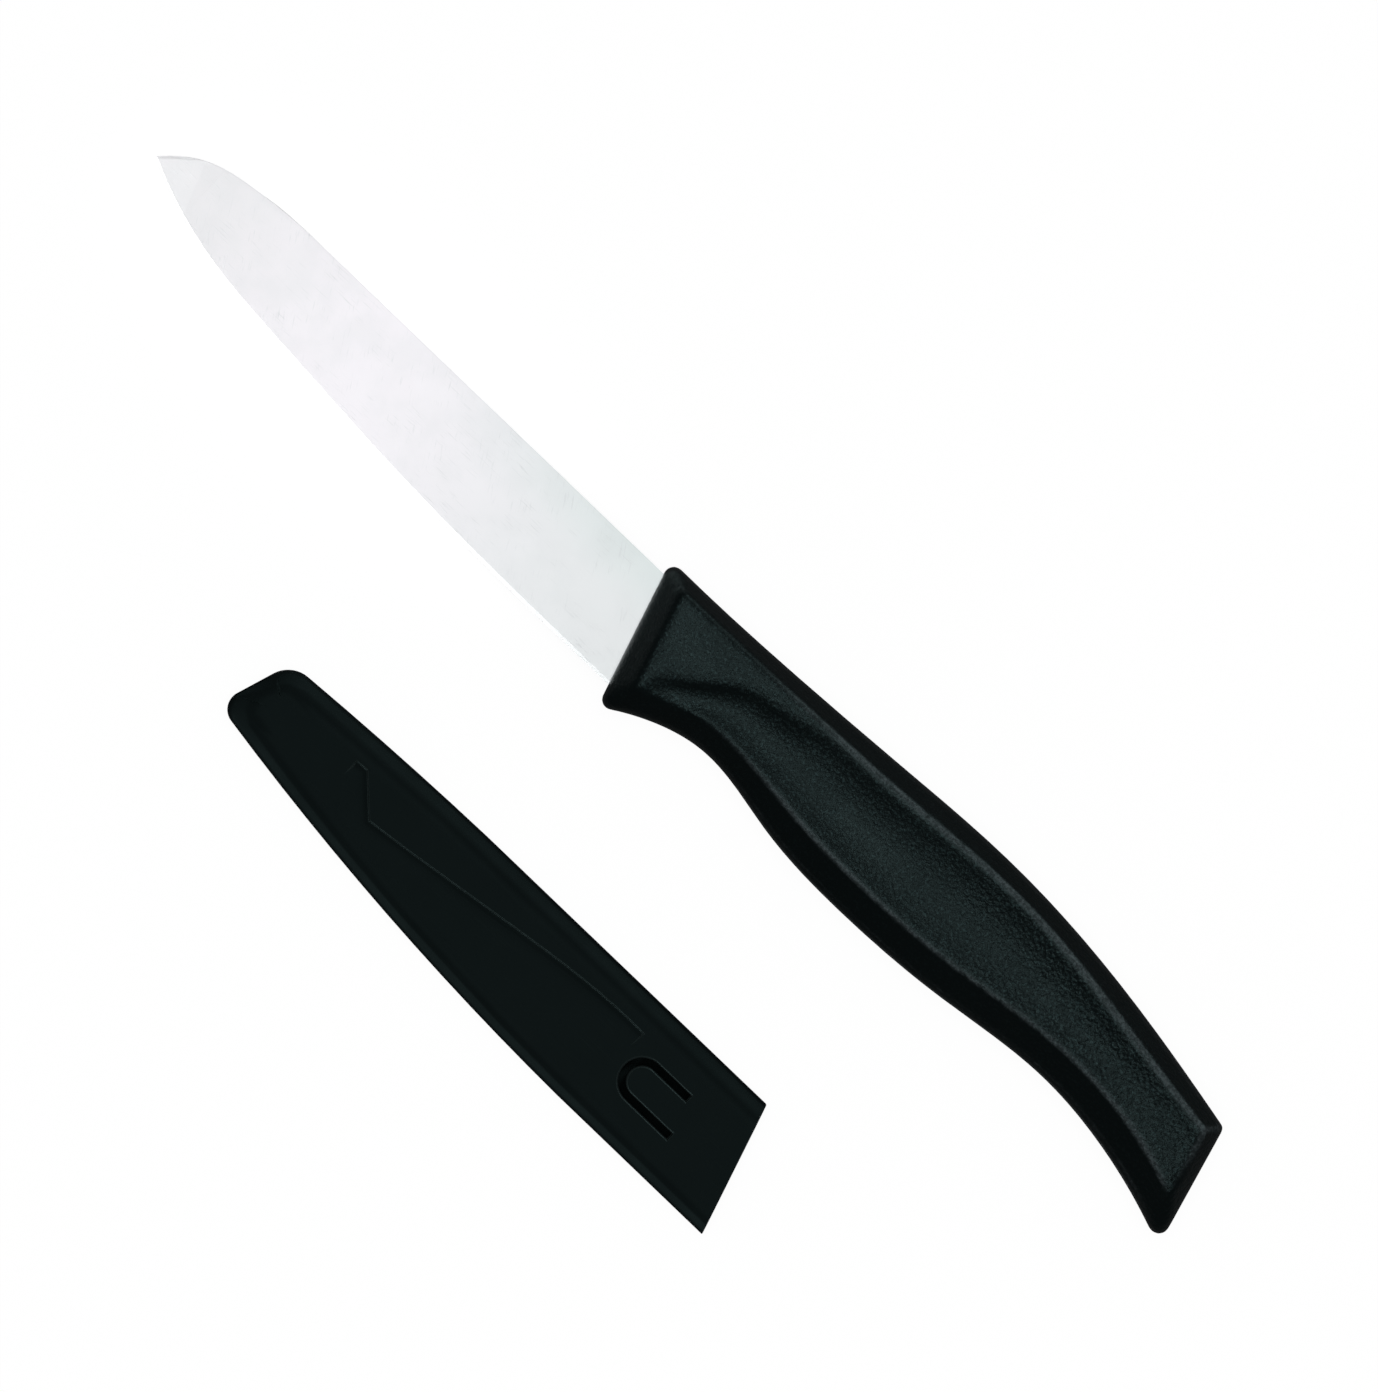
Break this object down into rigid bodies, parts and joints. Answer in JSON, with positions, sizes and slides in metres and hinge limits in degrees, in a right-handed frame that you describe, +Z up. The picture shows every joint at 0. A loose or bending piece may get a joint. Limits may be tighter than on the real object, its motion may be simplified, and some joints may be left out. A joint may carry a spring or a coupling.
{
  "type": "paring knife",
  "caption": "Small kitchen knife with a flat-ground straight-backed blade, a moulded dished handle and a slide-off plastic blade guard lying beside it.",
  "frame": {"origin": "centre of the footprint of the knife and its guard, on the surface that they lie on", "axes": "+X from the blade's tip to the handle's butt, +Y from the cutting edge to the spine, +Z up from the surface"},
  "size_m": [0.218, 0.0716, 0.013],
  "materials": {
    "blade_steel": "satin, ground flat, with a finely polished cutting bevel",
    "handle_plastic": "black, moulded with a fine leather grain",
    "guard_plastic": "black, smooth satin"
  },
  "bodies": {
    "knife": {"blade": "blade_steel", "handle": "handle_plastic"},
    "guard": {"blade_guard": "guard_plastic"}
  },
  "joints": [
    {"name": "guard_slide", "type": "slide", "parent": "knife", "child": "guard", "axis": [-1, 0, 0], "range_m": [0, 0.1]}
  ]
}
